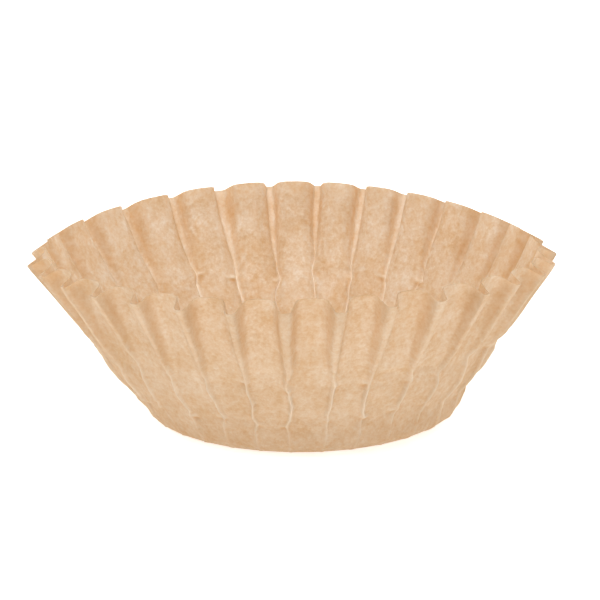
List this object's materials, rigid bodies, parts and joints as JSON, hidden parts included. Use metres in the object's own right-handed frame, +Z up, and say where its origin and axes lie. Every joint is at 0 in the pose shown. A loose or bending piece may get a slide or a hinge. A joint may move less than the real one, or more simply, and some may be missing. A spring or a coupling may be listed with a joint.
{
  "type": "paper coffee filter",
  "caption": "Open basket coffee filter of thin brown paper: flat round floor, leaning wall gathered into narrow outward flutes, cut rim.",
  "frame": {"origin": "middle of the floor's underside", "axes": "+Z up towards the open rim, +X to the side where the relaxed rim is widest, +Y towards the back"},
  "size_m": [0.193, 0.186, 0.0606],
  "materials": {
    "filter_paper": "unbleached creped filter paper, matt, slightly translucent"
  },
  "bodies": {
    "root": {"coffee_filter": "filter_paper"}
  },
  "joints": []
}
